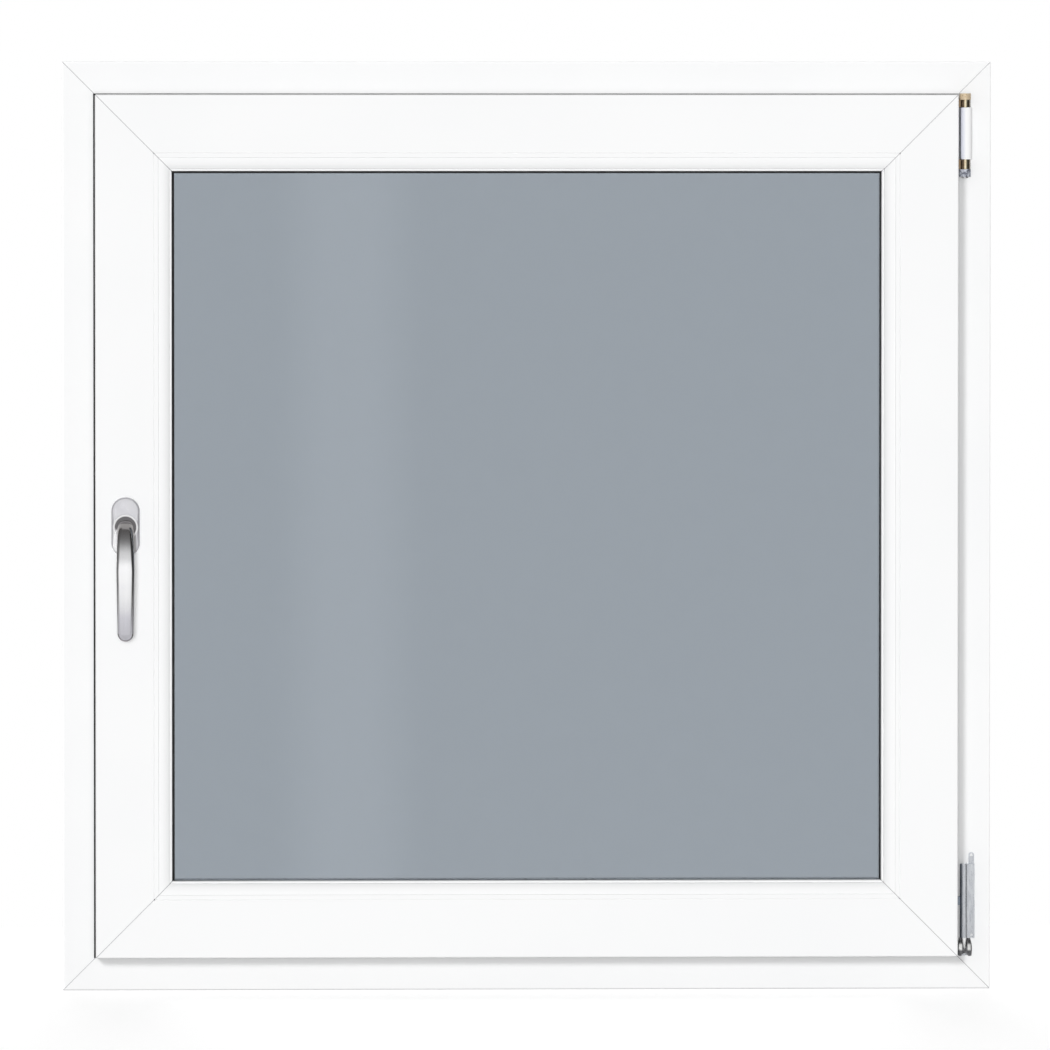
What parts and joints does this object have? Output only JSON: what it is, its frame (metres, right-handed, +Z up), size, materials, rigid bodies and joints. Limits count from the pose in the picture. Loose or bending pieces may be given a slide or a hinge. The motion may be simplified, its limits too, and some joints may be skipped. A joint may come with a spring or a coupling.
{
  "type": "tilt-and-turn window",
  "caption": "Square white plastic window with mitred frame and sash, double glazing in clip-in beads, exposed side hinges and a bent lever handle that turns.",
  "frame": {"origin": "middle of the frame sill's underside, halfway through the frame's depth", "axes": "+Z up, +X to the right as seen from the room (hinge side), +Y to the outside"},
  "size_m": [1, 0.1445, 1],
  "materials": {
    "white_profile": "smooth white plastic with a low sheen",
    "black_seal": "matt black rubber",
    "pane_glass": "clear float glass with a cool grey tint",
    "spacer_metal": "mill aluminium with fine pin holes",
    "rosette_metal": "satin anodised",
    "lever_metal": "satin anodised",
    "zinc_metal": "bright zinc plate",
    "chromate_metal": "yellow chromate over zinc",
    "sleeve_plastic": "white moulded cover",
    "pivot_metal": "polished",
    "drain_plastic": "white moulded cover"
  },
  "bodies": {
    "window_unit": {"frame_head": "white_profile", "frame_sill": "white_profile", "frame_left_jamb": "white_profile", "frame_right_jamb": "white_profile", "sash_top_rail": "white_profile", "sash_bottom_rail": "white_profile", "sash_left_stile": "white_profile", "sash_right_stile": "white_profile", "glazing_bead_top": "white_profile", "glazing_bead_bottom": "white_profile", "glazing_bead_left": "white_profile", "glazing_bead_right": "white_profile", "sash_overlap_seal": "black_seal", "frame_stop_seal": "black_seal", "inner_glass_seal": "black_seal", "outer_glass_seal": "black_seal", "inner_pane": "pane_glass", "outer_pane": "pane_glass", "glass_spacer": "spacer_metal", "handle_rosette": "rosette_metal", "upper_hinge_bracket": "zinc_metal", "upper_hinge_stay_barrel": "chromate_metal", "upper_hinge_sleeve": "sleeve_plastic", "upper_hinge_pin": "pivot_metal", "lower_hinge_bearing": "zinc_metal", "lower_hinge_barrel": "zinc_metal", "lower_hinge_cup": "pivot_metal", "lower_hinge_pivot": "pivot_metal", "drain_covers": "drain_plastic"},
    "handle": {"handle_lever": "lever_metal"}
  },
  "joints": [
    {"name": "handle_turn", "type": "hinge", "parent": "window_unit", "child": "handle", "pos_m": [-0.432, -0.0765, 0.5], "axis": [0, -1, 0], "range_deg": [0, 180]}
  ]
}
